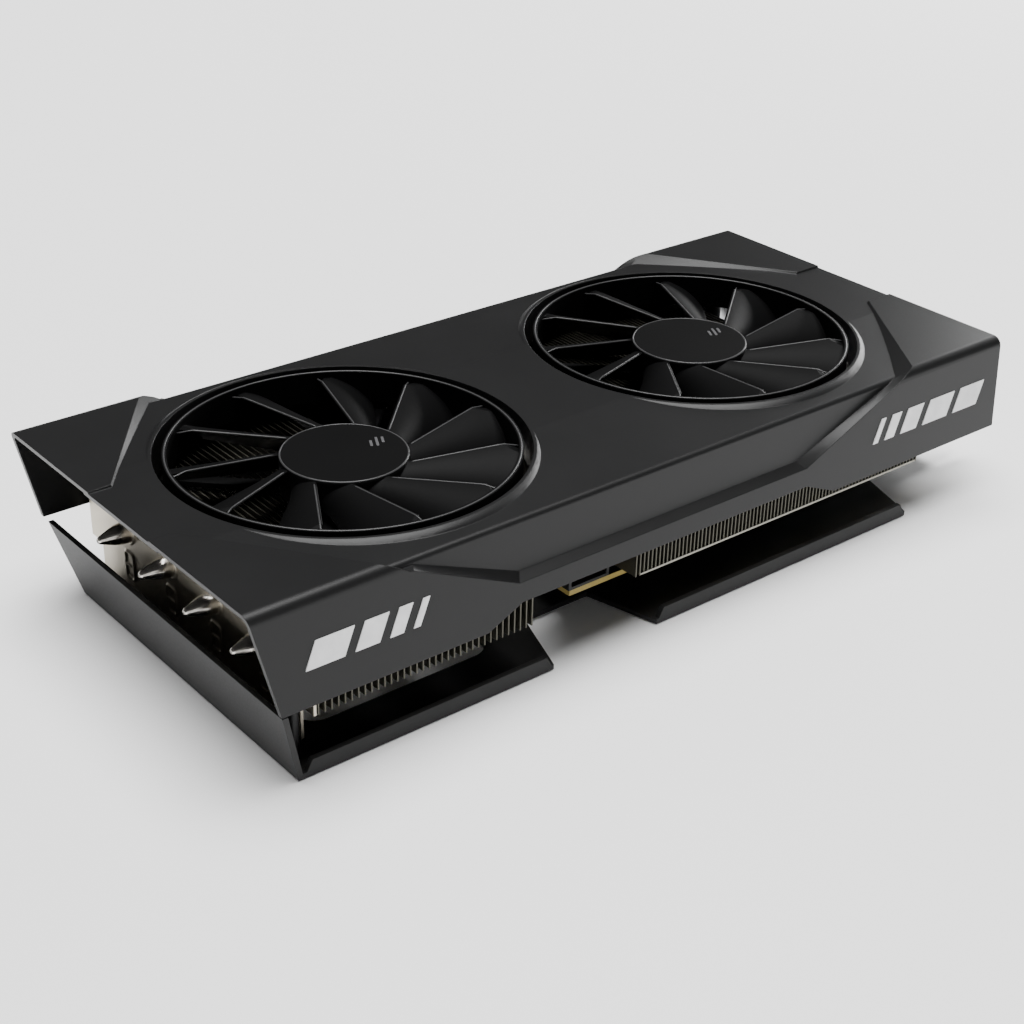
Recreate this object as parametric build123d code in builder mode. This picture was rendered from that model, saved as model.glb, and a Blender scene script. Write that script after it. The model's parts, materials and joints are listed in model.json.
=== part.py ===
"""A dual-fan graphics card with a flow-through tail, lying flat with its fans up.

X runs from the tail to the display bracket, Y from the power-plug side to the edge contacts, and Z up.
The origin is at the bottom centre of the card's box. Millimetres throughout.
"""

import os
from math import acos, cos, radians, sin, sqrt

from build123d import *

os.makedirs("parts", exist_ok=True)

# --- Overall sizes --------------------------------------------------------------------------------
shroud_length = 268.0
card_height = 50.5  # backplate's outer face to the tops of the shroud's corner wings
shroud_half_width = 59.9  # at the top corners of the wings
shroud_shift = -0.6  # shroud's centre line, measured from the line through both fans
wall_lean = 0.057  # outward lean of the side walls, per unit of depth
tail_lean = 0.2386  # slant of the tail end, in X per unit of depth
skin = 1.6  # shroud wall
running_gap = 0.4  # general clearance between neighbouring pieces

# --- Shroud faces, as depths below the wing tops --------------------------------------------------
panel_depth = 0.6
panel_edge_depth = 2.1
panel_flat_half = 22.5
recess = 2.6  # how far the middle of each side wall lies behind the wings
wing_edge_radius = 3.0
panel_edge_radius = 1.5
wall_depth = 28.9
arch_depth = 24.0
collar_width = 3.6
collar_lip = 0.9
duct_depth = 11.8
boss_radius = 2.6
screw_radius = 1.0
head_radius = 1.9
head_height = 1.0
screw_grip = 6.0  # shank length held in a boss or post

# --- Wing outlines: distances from the tail end, from the bracket end, and from the centre line ---
wing_step_half = 15.5
tail_step = 6.5
front_step = 10.0
tail_wing_reach = 37.5
front_wing_reach = 38.7
tail_facet = 3.7
front_facet = 8.3
recess_line_depth = 16.6
strip_line_depth = 18.3
tail_recess_start = 78.0
front_recess_start = 85.0
tail_recess_top = 38.0
front_recess_top = 41.2
arch_tail_foot = 67.8
arch_tail_top = 79.0
arch_front_top = 84.6
arch_front_foot = 73.0
skirt_start = 82.0  # far wall's skirt over the gap between the fin blocks
skirt_end = 124.0
front_skirt_start = 40.0
front_skirt_end = 6.0
skirt_slant = 6.0
skirt_lift = 12.5

# --- Fans -----------------------------------------------------------------------------------------
fan_ring_radius = 47.9
fan_ring_wall = 1.25
fan_ring_height = 9.6
fan_gap = 2.6  # between the ring and the shroud's opening
tail_fan_inset = 67.4
front_fan_inset = 73.3
hub_radius = 17.6
hub_depth = 3.0
hub_height = 10.2
hub_wall = 1.3
blade_count = 11
blade_sweep = 20.0
blade_thickness = 1.1
blade_edge = 0.7  # thickness along the top edge
blade_drop = 1.7  # how far the top edge falls between the kink and the ring
blade_camber = 1.3
kink_radius = 40.0
tail_blade_turn = 0.0
front_blade_turn = -5.5
shaft_radius = 1.5
shaft_gap = 0.03
bearing_radius = 3.4
bearing_tube_wall = 1.2
magnet_wall = 1.6
rotor_gap = 0.5
magnet_clear = 0.6  # at both ends of the magnet ring
hub_boss_height = 2.4
hub_boss_wall = 1.6
bearing_clear = 0.8  # between the hub's boss and the bearing
stator_poles = 8
stator_lift = 1.2
stator_core_radius = 8.0
pole_width = 3.2
pole_height = 3.0
shoe_width = 7.4
shoe_height = 4.4
shoe_thickness = 0.8
frame_thickness = 1.5
frame_clear = 0.9  # between the rotor and the frame under it
frame_plate_radius = 15.0
strut_width = 4.0
boss_circle = 57.0

# --- Heat sink ------------------------------------------------------------------------------------
fin_thickness = 0.4
tail_fin_pitch = 1.95
front_fin_pitch = 1.45
tail_fins_start = 20.2
tail_fins_length = 68.0
front_fins_start = 145.0  # from the bracket end
front_fins_end = 28.0
fin_half_width = 56.0
fin_gap = 1.3  # under the fan frames
tail_fin_lift = 14.0  # underside, above the backplate's outer face
end_plate_thickness = 0.8
end_plate_half = 50.0  # of its deeper middle
end_plate_lift = 4.0
pipe_radius = 3.0
pipe_pitch = 22.7
pipe_line = -0.6
pipe_depth = 26.0
pipe_bend_radius = 18.0
pipe_tip = 10.0
pipe_shoulder = 18.0
pipe_bend_past = 2.0  # where the bend starts, past the power socket
spreader_thickness = 3.2
clamp_reach = 30.0
clamp_grip = 2.4
clamp_thickness = 1.0
clamp_pad = 1.0
spring_height = 1.6

# --- Board and what stands on it ------------------------------------------------------------------
board_bottom = 8.9
board_thickness = 1.6
board_near = -45.0
board_height = 111.15
finger_drop = 8.25
finger_start = 48.0
finger_length = 89.0
finger_key = 1.9
finger_key_from_end = 11.65
finger_thickness = 0.06
board_length = 157.0
supply_inset = 24.0  # chokes' row, from the board's tail edge
capacitor_height = 2.9
board_end_gap = 1.4
package_size = 42.5
package_thickness = 1.1
die_length = 24.0
die_width = 18.0
die_thickness = 0.7
chip_x = 82.0  # graphics chip's centre, from the bracket end
memory_length = 14.0
memory_width = 12.0
memory_thickness = 1.1
socket_length = 14.6
socket_depth = 13.6
socket_height = 9.8
socket_wall = 0.9
socket_floor = 3.2
socket_overhang = 0.0
socket_clear = 0.2
socket_latch = 0.8
pin_pitch = 4.2
pin_columns = 3
pin_side = 0.9
pin_length = 5.2

# --- Bracket and display sockets ------------------------------------------------------------------
bracket_gap = 0.3
bracket_wall = 0.9
bracket_width = 38.74
bracket_below_board = 2.4
bracket_near = -43.4
bracket_height = 120.02
bracket_tongue = 12.2
tongue_width = 9.0
tongue_taper = 6.0
slot_pitch = 20.32
tab_length = 11.43
tab_slot_radius = 2.2
tab_corner = 4.0
bracket_tab_hole = 6.0
display_count = 3
display_pitch = 20.5
display_first = -22.0
display_inner = (16.1, 4.9)
media_inner = (14.2, 4.7)
display_depth = 14.0
display_shell = 0.5
display_tongue = 1.2
display_mouth = 4.6

# --- Backplate ------------------------------------------------------------------------------------
plate_thickness = 1.5
plate_near = -59.8
plate_far = 49.5
plate_lip_height = 4.5
lip_chamfer = 2.5
plate_tail_near = -62.0
plate_tail_far = 57.0
plate_front_inset = 35.0
plate_front_slant = 0.344
plate_front_limit = 5.0
window_start = 25.0
window_end = 84.0
window_near = -44.0
window_far = 43.0
window_radius = 6.0
notch_tail = 176.0
notch_front = 139.0
notch_near = -37.0
notch_tail_slant = 0.36
notch_front_slant = 0.25
post_radius = 1.6
standoff_radius = 2.2

# --- Side marks -----------------------------------------------------------------------------------
mark_thickness = 0.25
mark_depth = 15.4
mark_height = 7.2
mark_slant = 3.2

# --- Worked-out places ----------------------------------------------------------------------------
overall_length = shroud_length + bracket_gap + bracket_wall + tab_length
tail_x = -overall_length / 2
front_x = tail_x + shroud_length
near_reach = shroud_half_width + wall_lean * wall_depth - shroud_shift
tongue_reach = bracket_near + bracket_height
fan_y = (near_reach - tongue_reach) / 2
centre_y = fan_y + shroud_shift
tail_fan_x = tail_x + tail_fan_inset
front_fan_x = front_x - front_fan_inset
opening_radius = fan_ring_radius + fan_gap
board_top = board_bottom + board_thickness
chip_centre_x = front_x - chip_x
spreader_bottom = board_top + package_thickness + die_thickness
spreader_top = spreader_bottom + spreader_thickness
blade_bottom_depth = panel_depth + fan_ring_height + 1.0
frame_top_depth = hub_depth + hub_height + frame_clear
fin_top_depth = frame_top_depth + frame_thickness + fin_gap
front_pipe_z = spreader_bottom + 1.6 + pipe_radius
bracket_x = front_x + bracket_gap
board_front_x = front_x - board_end_gap
pipe_rows = [fan_y + pipe_line + pipe_pitch * (row - 1.5) for row in range(4)]
corner_post_x = tail_x + tail_lean * (card_height - plate_thickness) + plate_thickness + 0.6 + post_radius
board_post_x = front_x - 16.0
board_post_ys = (fan_y - 36.0, fan_y + 46.0)


def down(depth):
    """Height of a level that lies this far below the wing tops."""
    return card_height - depth


def wall_at(depth, inset):
    """Distance of a side wall from the shroud's centre line, at this depth and this far in."""
    return shroud_half_width - inset + wall_lean * depth


def upright(y):
    """Plane facing the near side at this Y, with its own axes along X and Z."""
    return Plane(origin=(0, y, 0), x_dir=(1, 0, 0), z_dir=(0, -1, 0))


def radial_plane(x):
    """Upright plane through a fan's axis, with its own origin on the axis at Z 0."""
    return Plane(origin=(x, fan_y, 0), x_dir=(1, 0, 0), z_dir=(0, -1, 0))


def wall_plane(inset):
    """Plane along the near side wall, this far in, with its own Y zero at the wing tops."""
    origin = (0, centre_y - shroud_half_width + inset, card_height)
    return Plane(origin=origin, x_dir=(1, 0, 0), z_dir=(0, -1, wall_lean))


def fan_axis(x):
    return Axis((x, fan_y, 0), (0, 0, 1))


def save(piece, name):
    piece.part.label = name
    export_step(piece.part, f"parts/{name}.step")


def flat(plane, points):
    """A closed flat face through these corners."""
    with BuildSketch(plane) as face:
        Polygon(*points, align=None)
    return face.sketch


def prism(plane, points, amount, mode=Mode.ADD, both=False):
    """A straight bar of this outline, in the part that is open."""
    extrude(flat(plane, points), amount=amount, both=both, mode=mode)


def cylinder(x, y, bottom, top, radius, mode=Mode.ADD):
    """An upright round bar, or its removal, in the part that is open."""
    with Locations((x, y, (bottom + top) / 2)):
        Cylinder(radius, top - bottom, mode=mode)


def block(x, y, bottom, length, width, height, mode=Mode.ADD):
    """A box centred on X and Y that stands on this level."""
    with Locations((x, y, bottom + height / 2)):
        Box(length, width, height, mode=mode)


def slab(low, high, mode=Mode.ADD):
    """A box between two opposite corners."""
    sizes = [b - a for a, b in zip(low, high)]
    with Locations(tuple((a + b) / 2 for a, b in zip(low, high))):
        Box(*sizes, mode=mode)


def screw(x, y, head_seat, tip, size=1.0):
    """A pan-head screw: its head lies against head_seat, and its shank runs to tip."""
    away = 1 if head_seat > tip else -1
    head_end = head_seat + away * head_height * size
    cylinder(x, y, min(head_end, head_seat), max(head_end, head_seat), head_radius * size)
    cylinder(x, y, min(head_seat, tip), max(head_seat, tip), screw_radius * size)
    for length, width in ((2.2, 0.5), (0.5, 2.2)):
        block(x, y, head_end - 0.5, length * size, width * size, 1.0, mode=Mode.SUBTRACT)


def boss_places(fan_x):
    """The four corners where a fan's frame is screwed to the shroud."""
    reach = boss_circle * sqrt(0.5)
    return [(fan_x + sx * reach, fan_y + sy * reach) for sx in (-1, 1) for sy in (-1, 1)]


# --- Shroud ---------------------------------------------------------------------------------------
def shroud_section(inset, top_points, corner_radius):
    """Arch-shaped section: a top through top_points, and leaning walls inset by this much."""
    top_edge = top_points[0][1]
    foot = [(-wall_at(wall_depth, inset), down(wall_depth)), (-wall_at(top_edge, inset), down(top_edge))]
    over = [(y, down(depth)) for y, depth in top_points[1:-1]]
    back = [(-y, z) for y, z in reversed(foot)]
    with BuildSketch(Plane.YZ.offset(tail_x)) as section:
        with Locations((centre_y, 0)):
            Polygon(*foot, *over, *back, align=None)
        if corner_radius:
            corners = section.vertices().filter_by(lambda v: abs(v.Y - down(top_edge)) < 0.001).sort_by(Axis.X)
            fillet([corners[0], corners[-1]], corner_radius)
    return section.sketch


def trough_outline(depth):
    """Plan of the lowered centre panel at this depth: its facets narrow it as it goes down."""
    share = depth / recess
    half = wing_step_half - share
    far_out = shroud_half_width + 6.0
    rise = (far_out - wing_step_half) / (shroud_half_width - 2.5 - wing_step_half)
    tail_in = tail_x + tail_step + 1.2 * share
    tail_out = tail_x + tail_step + rise * (tail_wing_reach - tail_step + tail_facet * share)
    front_in = front_x - front_step - 2.0 * share
    front_out = front_x - front_step - rise * (front_wing_reach - front_step + front_facet * share)
    near = [(tail_x - 2.0, -half), (tail_in, -half), (tail_out, -far_out)]
    near += [(front_out, -far_out), (front_in, -half), (front_x + 2.0, -half)]
    far = [(x, -y) for x, y in reversed(near)]
    return [(x, centre_y + y) for x, y in near + far]


def side_recess_outline(inset):
    """Outline of the lowered middle of a side wall, this far behind the wings' own wall."""
    share = inset / recess
    floor_depth = strip_line_depth + share * (recess_line_depth - strip_line_depth)
    tail_foot = tail_x + tail_recess_start + 2.0 * share
    front_foot = front_x - front_recess_start - 2.0 * share
    tail_head = tail_x + tail_recess_top + 0.5 * share
    front_head = front_x - front_recess_top + 1.6 * share
    above = 1.5
    tail_run = (tail_foot - tail_head) * above / floor_depth
    front_run = (front_head - front_foot) * above / floor_depth
    return [
        (tail_head - tail_run, above),
        (tail_foot, -floor_depth),
        (front_foot, -floor_depth),
        (front_head + front_run, above),
    ]


def collar_section(fan_x):
    """A rounded lip round a fan's opening that runs down into a short duct."""
    lip_end = (opening_radius + collar_lip, down(panel_depth))
    foot = (opening_radius + collar_width, down(panel_edge_depth + 0.9))
    duct = opening_radius + skin
    with BuildSketch(radial_plane(fan_x)) as section:
        with BuildLine():
            RadiusArc(lip_end, foot, 5.0)
            Polyline(
                foot,
                (foot[0], foot[1] - 1.0),
                (duct, foot[1] - 1.6),
                (duct, down(duct_depth)),
                (opening_radius, down(duct_depth)),
                (opening_radius, down(panel_depth)),
                lip_end,
            )
        make_face()
    return section.sketch


wing_top = [(-shroud_half_width, 0.0), (0.0, 0.0), (shroud_half_width, 0.0)]
centre_top = [
    (-shroud_half_width, panel_edge_depth),
    (-panel_flat_half, panel_depth),
    (panel_flat_half, panel_depth),
    (shroud_half_width, panel_edge_depth),
]
cavity_top = [(y, depth + skin) for y, depth in centre_top]
plate_posts = [(corner_post_x, fan_y - 52.5), (tail_x + 103.0, fan_y + 45.0)]  # near corner, far middle
board_posts = [(board_post_x, y) for y in board_post_ys]
skirts = [(tail_x + skirt_start, tail_x + skirt_end), (front_x - front_skirt_start, front_x - front_skirt_end)]
wing_root = down(0.75 * skin)  # where a post under a wing ends, inside the wing's skin



def wing_plan(end_x, inwards, step, reach, side):
    """Plan of the space inside one corner wing, which keeps the skin's thickness at its facet."""
    inner = side * (wing_step_half + 2 * skin)
    outer = side * (shroud_half_width + 6.0)
    slope = (reach - step) / (shroud_half_width - 2.5 - wing_step_half)
    far = step - 2 * skin + slope * (abs(outer) - abs(inner))
    plan = [(-2.0, inner), (step - 2 * skin, inner), (far, outer), (-2.0, outer)]
    return [(end_x + inwards * x, centre_y + y) for x, y in plan]


with BuildPart() as wing_hollows:
    under_top = [(y, depth + skin) for y, depth in wing_top]
    extrude(shroud_section(skin, under_top, wing_edge_radius - skin), amount=shroud_length)
    with BuildPart(mode=Mode.INTERSECT):
        for side in (-1, 1):
            for wing in ((tail_x, 1, tail_step, tail_wing_reach), (front_x, -1, front_step, front_wing_reach)):
                prism(Plane.XY, wing_plan(*wing, side), card_height)

with BuildPart() as shroud:
    extrude(shroud_section(0.0, wing_top, wing_edge_radius), amount=shroud_length)
    trough = [flat(Plane.XY.offset(down(level)), trough_outline(level)) for level in (-1.0, recess + 1.0)]
    loft(trough, ruled=True, mode=Mode.SUBTRACT)
    insets = (-0.6, recess + 0.6)
    faces = [flat(wall_plane(inset), side_recess_outline(inset)) for inset in insets]
    near_recess = loft(faces, ruled=True, mode=Mode.PRIVATE)
    add(near_recess, mode=Mode.SUBTRACT)
    add(near_recess.mirror(upright(centre_y)), mode=Mode.SUBTRACT)
    extrude(shroud_section(recess, centre_top, panel_edge_radius), amount=shroud_length)
    cavity = shroud_section(recess + skin, cavity_top, 0)
    extrude(cavity, amount=shroud_length, mode=Mode.SUBTRACT)
    add(wing_hollows.part, mode=Mode.SUBTRACT)
    for fan_x in (tail_fan_x, front_fan_x):
        revolve(collar_section(fan_x), axis=fan_axis(fan_x))
        cylinder(fan_x, fan_y, down(duct_depth + 1), down(-1), opening_radius, Mode.SUBTRACT)
    for fan_x in (tail_fan_x, front_fan_x):
        for x, y in boss_places(fan_x):
            cylinder(x, y, down(frame_top_depth), down(panel_edge_depth), boss_radius)
    for (x, y), root in zip(plate_posts, (wing_root, down(panel_edge_depth))):
        cylinder(x, y, plate_thickness, root, post_radius)
    for x, y in board_posts:
        cylinder(x, y, board_top, wing_root, boss_radius)
    for x, y in [*boss_places(tail_fan_x), *boss_places(front_fan_x)]:
        cylinder(x, y, down(frame_top_depth), down(frame_top_depth - screw_grip), screw_radius, Mode.SUBTRACT)
    for x, y in plate_posts:
        cylinder(x, y, plate_thickness, plate_thickness + screw_grip, screw_radius, Mode.SUBTRACT)
    for x, y in board_posts:
        cylinder(x, y, board_top, board_top + screw_grip, screw_radius, Mode.SUBTRACT)
    slant = [(tail_x - 9, down(-9)), (tail_x - 9 * tail_lean, down(-9))]
    slant += [(tail_x + 40 * tail_lean, down(40)), (tail_x - 9, down(40))]
    prism(upright(centre_y), slant, shroud_half_width + 9, Mode.SUBTRACT, both=True)
    arch = [
        (tail_x + arch_tail_foot, down(wall_depth + 1)),
        (tail_x + arch_tail_foot, down(wall_depth)),
        (tail_x + arch_tail_top, down(arch_depth)),
        (front_x - arch_front_top, down(arch_depth)),
        (front_x - arch_front_foot, down(wall_depth)),
        (front_x - arch_front_foot, down(wall_depth + 1)),
    ]
    prism(upright(centre_y), arch, shroud_half_width + 9, Mode.SUBTRACT)
    skirt_y = centre_y + wall_at(wall_depth, recess - 0.4)
    for first, last in skirts:
        skirt = [
            (first - skirt_slant, down(wall_depth - 1.0)),
            (first, skirt_lift),
            (last, skirt_lift),
            (last + skirt_slant, down(wall_depth - 1.0)),
        ]
        prism(upright(skirt_y + skin), skirt, skin)
save(shroud, "shroud")


# --- White side marks: slanted bars standing just proud of the wings' near wall -------------------
def side_marks(name, first_x, widths, gap):
    with BuildPart() as marks:
        x = first_x
        for width in widths:
            low = -mark_depth - mark_height / 2
            bar = [(x, low), (x + width, low), (x + width + mark_slant, low + mark_height)]
            bar += [(x + mark_slant, low + mark_height)]
            prism(wall_plane(0.0), bar, mark_thickness)
            x += width + gap
    save(marks, name)


side_marks("tail_side_mark", tail_x + 14.0, (11.0, 7.0, 4.0, 2.0), 3.0)
side_marks("front_side_mark", front_x - 57.0, (2.0, 4.0, 7.0, 11.0, 11.0), 3.0)


# --- Fans -----------------------------------------------------------------------------------------
def blade(turn):
    """One blade: thin cambered sections across a straight line from the hub to past the ring."""
    hub_angle = radians(turn - blade_sweep)
    tip_angle = radians(turn)
    root = Vector(hub_radius * cos(hub_angle), hub_radius * sin(hub_angle), 0)
    tip = Vector(fan_ring_radius * cos(tip_angle), fan_ring_radius * sin(tip_angle), 0)
    along = (tip - root).normalized()
    run = (tip - root).length
    bottom = down(blade_bottom_depth)
    stations = (
        (-9.0, hub_depth + 1.2, 5.5),
        (0.0, hub_depth + 0.6, 7.0),
        (run + 2.0, panel_depth + 0.3, 17.8),
    )
    sections = []
    for distance, top_depth, chord in stations:
        place = root + along * distance
        plane = Plane(origin=(place.X, place.Y, 0), x_dir=(along.Y, -along.X, 0), z_dir=-along)
        top = down(top_depth)
        rise = top - bottom
        with BuildSketch(plane) as section:
            with BuildLine():
                over = (chord / 2 + blade_camber, (top + bottom) / 2 + blade_camber)
                under = (over[0] - blade_thickness, over[1] - blade_thickness * chord / rise * 0.7)
                Line((-blade_edge, top - 0.1), (0, top))
                ThreePointArc((0, top), over, (chord, bottom))
                Line((chord, bottom), (chord - blade_thickness, bottom))
                ThreePointArc((chord - blade_thickness, bottom), under, (-blade_edge, top - 0.1))
            make_face()
        sections.append(section.sketch)
    return loft(sections, ruled=True, mode=Mode.PRIVATE)


def impeller(fan_x, turn):
    """Hub cup, ring and blades in one moulding, with a boss that grips the shaft."""
    ring_inner = fan_ring_radius - fan_ring_wall
    hub_top = down(hub_depth)
    with BuildPart() as blades:
        with PolarLocations(0.0, blade_count):
            add(blade(turn))
        outer = ring_inner + fan_ring_wall / 2
        cylinder(0, 0, 0, card_height, outer, Mode.INTERSECT)
        kink = (kink_radius, down(panel_depth + 0.4))
        rim = (fan_ring_radius, down(panel_depth + 0.4 + blade_drop))
        trim = [kink, rim, (fan_ring_radius, card_height), (kink_radius, card_height)]
        revolve(flat(Plane.XZ, trim), axis=Axis.Z, mode=Mode.SUBTRACT)
    with BuildPart() as wheel:
        cylinder(0, 0, hub_top - hub_height, hub_top, hub_radius)
        fillet(wheel.edges().group_by(Axis.Z)[-1], 0.8)
        add(blades.part)
        with BuildSketch(Plane.XY.offset(down(panel_depth + fan_ring_height))) as band:
            Circle(fan_ring_radius)
            Circle(ring_inner, mode=Mode.SUBTRACT)
        extrude(amount=fan_ring_height)
        inner = hub_radius - hub_wall
        cylinder(0, 0, 0, hub_top - hub_wall, inner, Mode.SUBTRACT)
        cylinder(0, 0, hub_top - hub_wall - hub_boss_height, hub_top - hub_wall, shaft_radius + hub_boss_wall)
        cylinder(0, 0, 0, hub_top - hub_wall, shaft_radius, Mode.SUBTRACT)
    with BuildPart() as placed:
        with Locations((fan_x, fan_y, 0)):
            add(wheel.part)
    return placed


def fan(name, fan_x, turn):
    """All pieces of one fan, from the ringed impeller down to the frame's screws."""
    save(impeller(fan_x, turn), f"{name}_impeller")
    hub_floor = down(hub_depth + hub_wall)
    skirt_end = down(hub_depth + hub_height)
    frame_top = down(frame_top_depth)
    frame_bottom = frame_top - frame_thickness
    inner = hub_radius - hub_wall
    tube = bearing_radius + bearing_tube_wall

    with BuildPart() as magnet:
        cylinder(fan_x, fan_y, skirt_end + magnet_clear, hub_floor - magnet_clear, inner)
        cylinder(fan_x, fan_y, 0, hub_floor, inner - magnet_wall, Mode.SUBTRACT)
    save(magnet, f"{name}_magnet_ring")

    with BuildPart() as shaft:
        cylinder(fan_x, fan_y, frame_top + 0.3, hub_floor, shaft_radius)
    save(shaft, f"{name}_shaft")

    sleeve_top = hub_floor - hub_boss_height - bearing_clear
    with BuildPart() as sleeve:
        cylinder(fan_x, fan_y, frame_top, sleeve_top, bearing_radius)
        cylinder(fan_x, fan_y, 0, card_height, shaft_radius + shaft_gap, Mode.SUBTRACT)
    save(sleeve, f"{name}_bearing_sleeve")

    with BuildPart() as stator:
        outer = inner - magnet_wall - rotor_gap
        cylinder(fan_x, fan_y, frame_top + stator_lift, sleeve_top, stator_core_radius)
        with Locations((fan_x, fan_y, (frame_top + stator_lift + sleeve_top) / 2)):
            with PolarLocations(outer / 2, stator_poles):
                Box(outer - 2 * shoe_thickness, pole_width, pole_height)
            with PolarLocations(outer - shoe_thickness, stator_poles):
                Box(2 * shoe_thickness, shoe_width, shoe_height)
        cylinder(fan_x, fan_y, 0, card_height, tube, Mode.SUBTRACT)
        cylinder(fan_x, fan_y, 0, card_height, outer, Mode.INTERSECT)
    save(stator, f"{name}_stator")

    with BuildPart() as frame:
        cylinder(fan_x, fan_y, frame_bottom, frame_top, frame_plate_radius)
        cylinder(fan_x, fan_y, frame_top, sleeve_top, tube)
        cylinder(fan_x, fan_y, frame_top, card_height, bearing_radius, Mode.SUBTRACT)
        for x, y in boss_places(fan_x):
            cylinder(x, y, frame_bottom, frame_top, boss_radius)
            with Locations(Location(((fan_x + x) / 2, (fan_y + y) / 2, frame_bottom + frame_thickness / 2))):
                quarter = 45 if (x - fan_x) * (y - fan_y) > 0 else -45
                with Locations(Location((0, 0, 0), (0, 0, quarter))):
                    Box(boss_circle, strut_width, frame_thickness)
        for x, y in boss_places(fan_x):
            cylinder(x, y, frame_bottom, frame_top, screw_radius, Mode.SUBTRACT)
    save(frame, f"{name}_frame")


fan("tail_fan", tail_fan_x, tail_blade_turn)
fan("front_fan", front_fan_x, front_blade_turn)


# --- Heat pipes: flat through the tail fins, then an S-bend down onto the spreader ----------------
pipe_z = down(pipe_depth)
pipe_drop = pipe_z - front_pipe_z
bend_turn = acos(1 - pipe_drop / (2 * pipe_bend_radius))
bend_run = 2 * pipe_bend_radius * sin(bend_turn)
front_fins_x = front_x - front_fins_start
front_fins_stop = front_x - front_fins_end
bend_start = front_x - board_end_gap - board_length + socket_length + pipe_bend_past
bend_mid = (bend_start + bend_run / 2, (pipe_z + front_pipe_z) / 2)
pipe_end = front_fins_stop + 2.0
quarter_x = pipe_bend_radius * sin(bend_turn / 2)
quarter_z = pipe_bend_radius * (1 - cos(bend_turn / 2))
shoulder_x = tail_x + pipe_shoulder

pipes = []
for row, row_y in enumerate(pipe_rows):
    with BuildPart() as pipe:
        with BuildSketch(Plane.YZ.offset(shoulder_x)):
            with Locations((row_y, pipe_z)):
                Circle(pipe_radius)
        with BuildLine(upright(row_y)):
            Line((shoulder_x, pipe_z), (bend_start, pipe_z))
            ThreePointArc((bend_start, pipe_z), (bend_start + quarter_x, pipe_z - quarter_z), bend_mid)
            bend_end = (bend_start + bend_run, front_pipe_z)
            last = (bend_end[0] - quarter_x, front_pipe_z + quarter_z)
            ThreePointArc(bend_mid, last, bend_end)
            Line(bend_end, (pipe_end, front_pipe_z))
        sweep()
        with BuildSketch(upright(row_y)):
            with BuildLine():
                tip_x = tail_x + pipe_tip
                crimp = (tip_x + 0.5, pipe_z + pipe_radius * 0.36)
                Line((shoulder_x, pipe_z), (shoulder_x, pipe_z + pipe_radius))
                Spline((shoulder_x, pipe_z + pipe_radius), crimp, tangents=((-1, 0), (-1, -0.3)))
                Line(crimp, (tip_x, pipe_z + pipe_radius * 0.2))
                Line((tip_x, pipe_z + pipe_radius * 0.2), (tip_x, pipe_z))
                Line((tip_x, pipe_z), (shoulder_x, pipe_z))
            make_face()
        revolve(axis=Axis((0, row_y, pipe_z), (1, 0, 0)))
    pipes.append(pipe.part)
    save(pipe, f"heat_pipe_{row + 1}")


def fin_stack(first_x, length, pitch, bottom, top):
    """Upright fins across X, spread evenly over this length."""
    count = int(length / pitch) + 1
    with Locations((first_x + fin_thickness / 2 + pitch * (count - 1) / 2, centre_y, (bottom + top) / 2)):
        with GridLocations(pitch, 1, count, 1):
            Box(fin_thickness, 2 * fin_half_width, top - bottom)


fin_top = down(fin_top_depth)
tail_fin_x = tail_x + tail_fins_start
with BuildPart() as tail_fins:
    fin_stack(tail_fin_x, tail_fins_length, tail_fin_pitch, tail_fin_lift, fin_top)
    for row_y in pipe_rows:
        with Locations((tail_fin_x + tail_fins_length / 2, row_y, pipe_z)):
            Cylinder(pipe_radius, tail_fins_length + 9, rotation=(0, 90, 0), mode=Mode.SUBTRACT)
save(tail_fins, "tail_fins")

with BuildPart() as end_plate:
    x = tail_fin_x - end_plate_thickness - running_gap
    slab(
        (x, centre_y - fin_half_width, tail_fin_lift),
        (x + end_plate_thickness, centre_y + fin_half_width, fin_top),
    )
    slab(
        (x, centre_y - end_plate_half, end_plate_lift),
        (x + end_plate_thickness, centre_y + end_plate_half, tail_fin_lift),
    )
    for row_y in pipe_rows:
        with Locations((x, row_y, pipe_z)):
            Cylinder(pipe_radius, 9, rotation=(0, 90, 0), mode=Mode.SUBTRACT)
save(end_plate, "tail_end_plate")

front_fin_lift = spreader_top
socket_x = board_front_x - board_length + socket_length / 2 - socket_clear
socket_mouth_y = fan_y + board_near - socket_overhang
with BuildPart() as front_fins:
    fin_stack(front_fins_x, front_fins_start - front_fins_end, front_fin_pitch, front_fin_lift, fin_top)
    for row_y in pipe_rows:
        slab(
            (bend_start + bend_run, row_y - pipe_radius, front_fin_lift - 1),
            (front_fins_stop + 1, row_y + pipe_radius, front_pipe_z),
            Mode.SUBTRACT,
        )
    for pipe_solid in pipes:
        add(pipe_solid, mode=Mode.SUBTRACT)
    slab(
        (front_fins_x - 1, socket_mouth_y - socket_clear, 0),
        (
            socket_x + socket_length / 2 + socket_clear,
            socket_mouth_y + socket_depth + socket_clear,
            board_top + socket_height + socket_latch + socket_clear,
        ),
        Mode.SUBTRACT,
    )
save(front_fins, "front_fins")

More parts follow.
